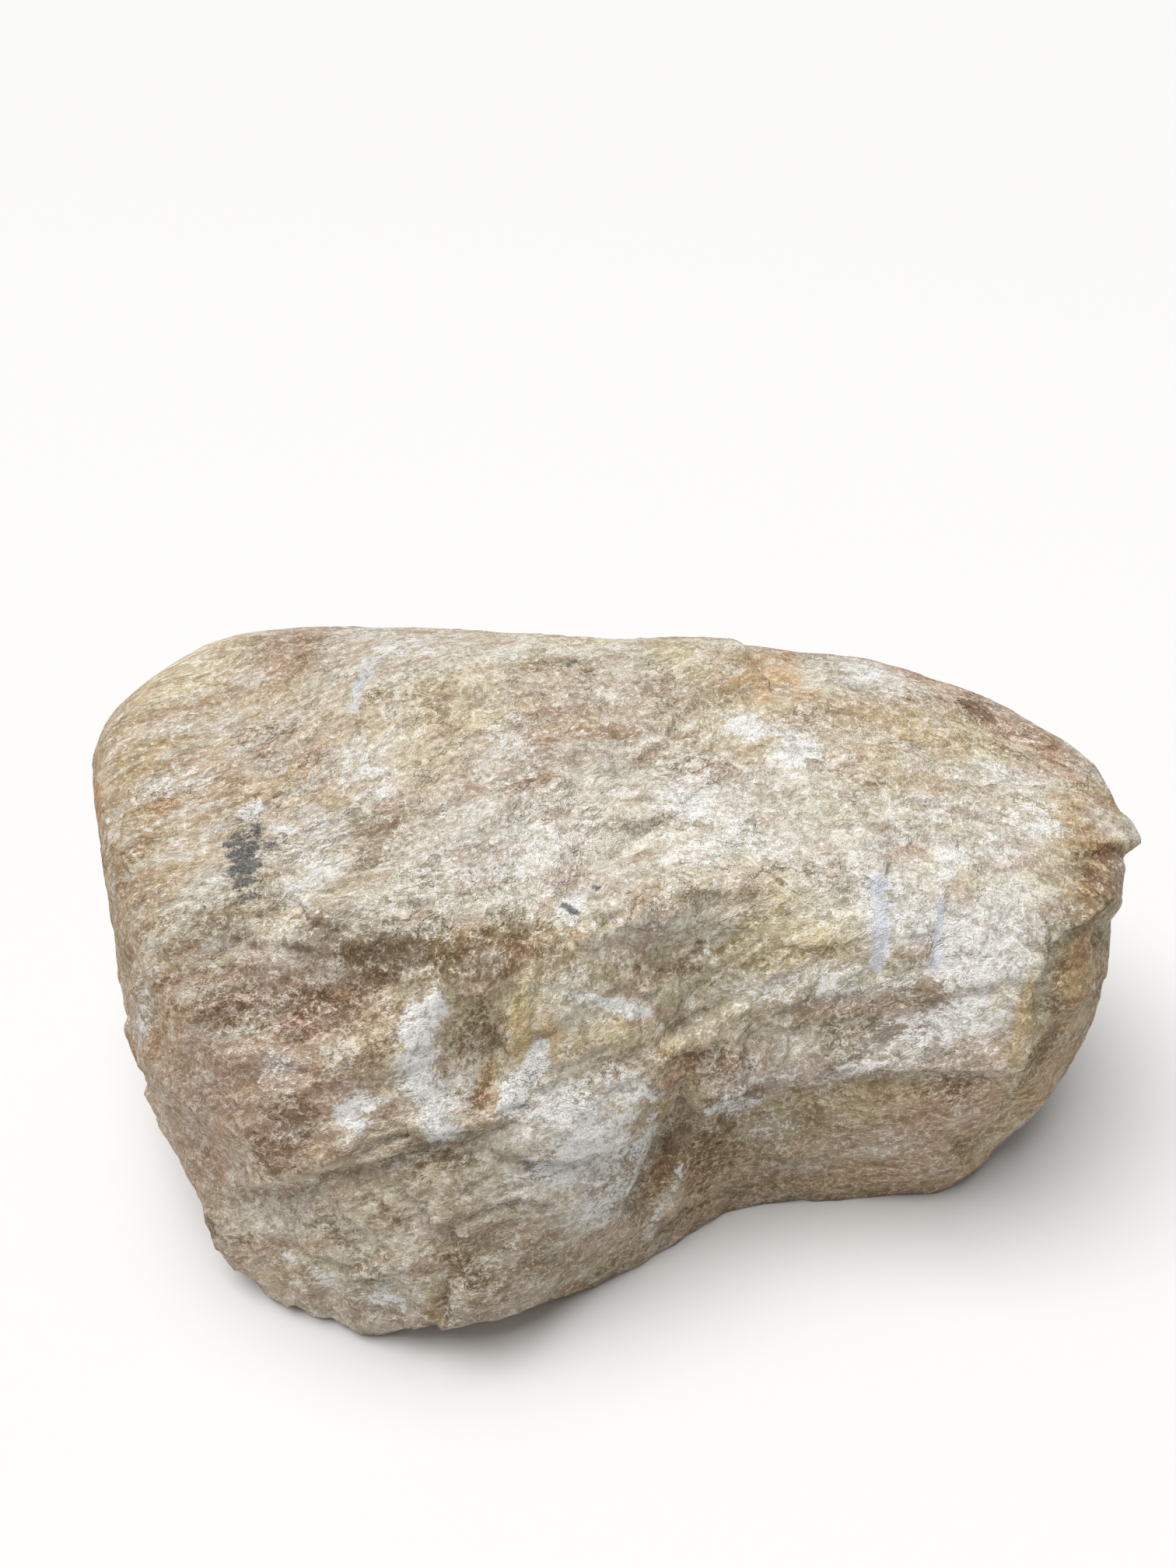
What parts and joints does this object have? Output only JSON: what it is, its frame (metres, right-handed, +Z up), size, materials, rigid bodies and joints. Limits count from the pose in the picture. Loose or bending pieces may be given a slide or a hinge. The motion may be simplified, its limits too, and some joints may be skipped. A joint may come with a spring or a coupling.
{
  "type": "honeycomb calcite specimen",
  "caption": "Rough broken boulder of fibrous honeycomb calcite, cream to honey tan, lying on a flat face, with an undercut front and a beaked end.",
  "frame": {"origin": "on the floor under the middle of the stone, in the plane of the flat face that it rests on", "axes": "+X along the stone's length towards its beaked end, -Y towards the front with the undercut, +Z up"},
  "size_m": [0.4094, 0.2619, 0.179],
  "materials": {
    "calcite": "rough broken fibrous calcite, cream to honey tan with white crust and orange stains"
  },
  "bodies": {
    "root": {"calcite_stone": "calcite"}
  },
  "joints": []
}
